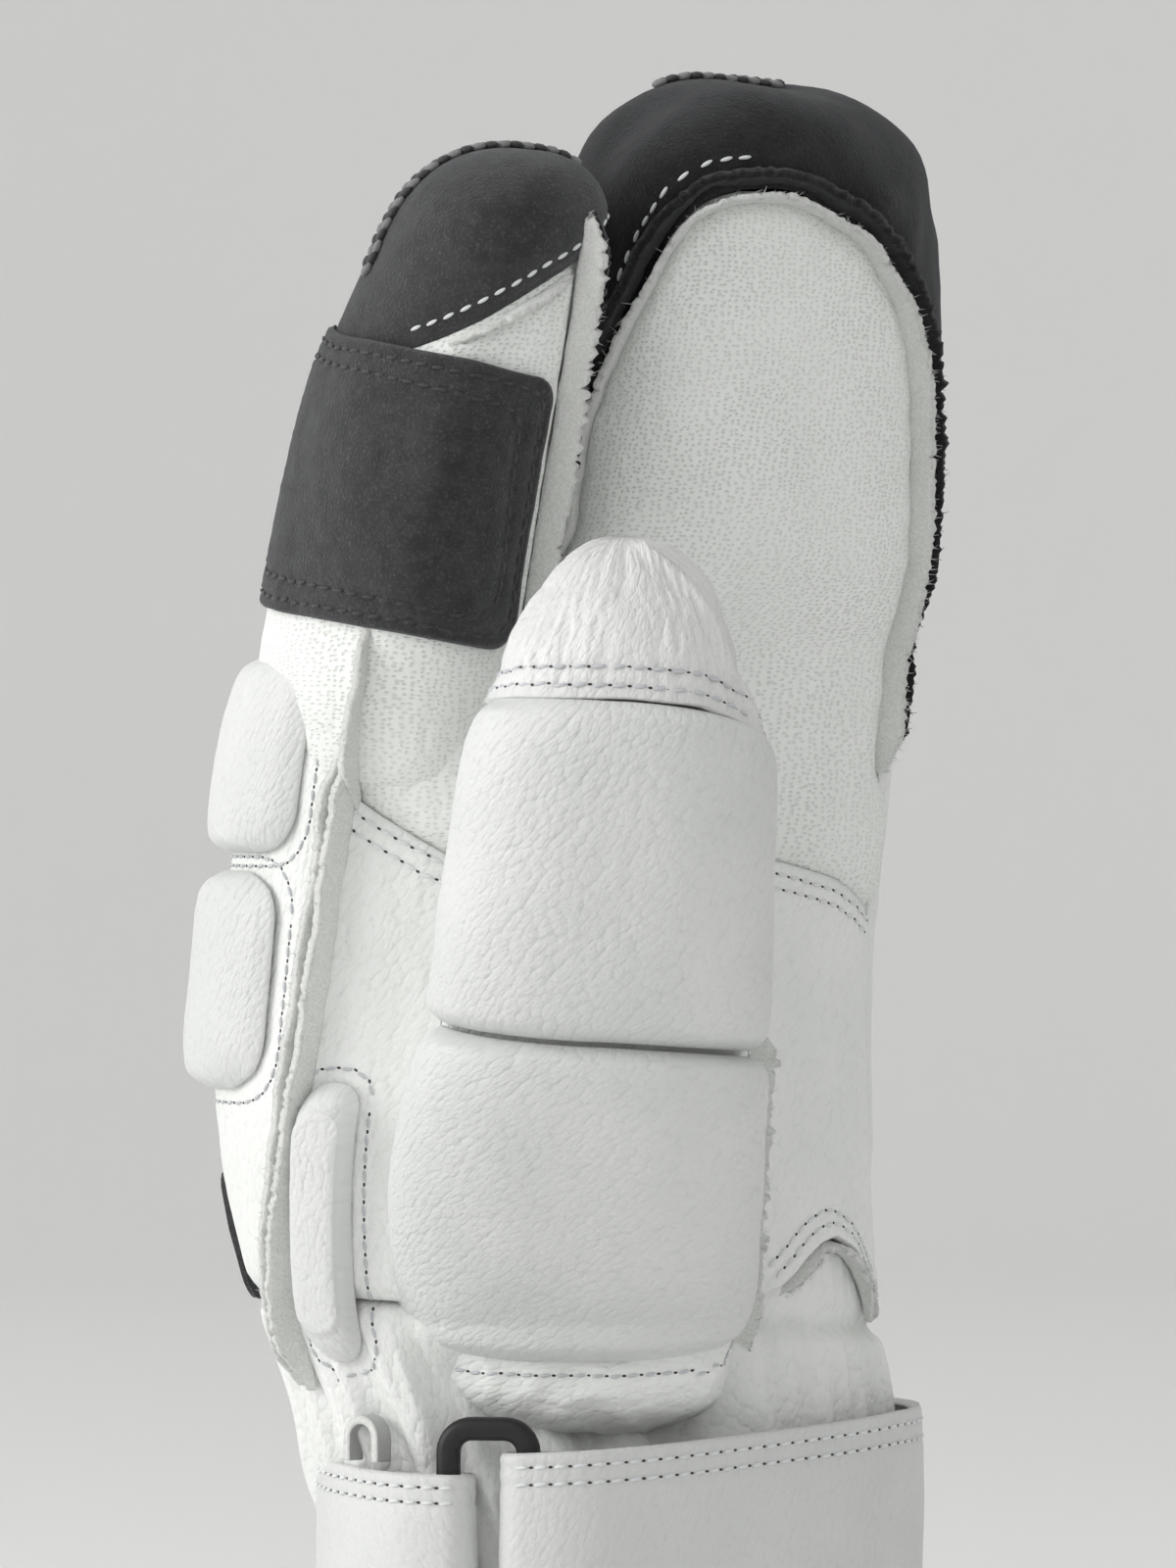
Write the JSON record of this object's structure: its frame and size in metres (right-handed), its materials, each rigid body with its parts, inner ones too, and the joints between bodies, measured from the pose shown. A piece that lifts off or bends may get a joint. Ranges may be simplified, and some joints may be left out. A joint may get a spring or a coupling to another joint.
{
  "type": "three-finger ski glove",
  "caption": "Padded leather ski glove with a pouch for three fingers, a separate index finger and a thumb, and a buckled wrist strap.",
  "frame": {"origin": "middle of the glove's box in X and Y, on the plane that the cuff's hem stands on", "axes": "+Z from the hem towards the fingertips, the palm faces -Y, the thumb and index finger are at -X"},
  "size_m": [0.1138, 0.109, 0.2638],
  "materials": {
    "white_leather": "soft grained white leather over padding, satin",
    "strap_leather": "smooth white strap leather with stitched edges, satin",
    "dark_suede": "charcoal suede with a short nap, matt",
    "dark_plastic": "moulded black plastic, satin"
  },
  "bodies": {
    "root": {"cuff": "white_leather", "palm": "white_leather", "pouch_face": "white_leather", "back_of_hand": "white_leather", "pouch_cap": "dark_suede", "index_shell": "white_leather", "index_cap": "dark_suede", "thumb_shell": "white_leather", "thumb_tip": "white_leather", "strap": "strap_leather", "strap_tab": "strap_leather", "buckle_loop": "dark_plastic", "pull_loop": "strap_leather", "index_patch": "dark_suede", "thumb_pad_upper": "white_leather", "thumb_pad_lower": "white_leather", "knuckle_pad_upper": "white_leather", "knuckle_pad_lower": "white_leather", "side_pad": "white_leather", "back_panel": "dark_suede", "pouch_welt": "white_leather", "index_welt": "white_leather", "side_welt": "white_leather", "thumb_welt": "white_leather", "wrist_welt": "white_leather"}
  },
  "joints": []
}
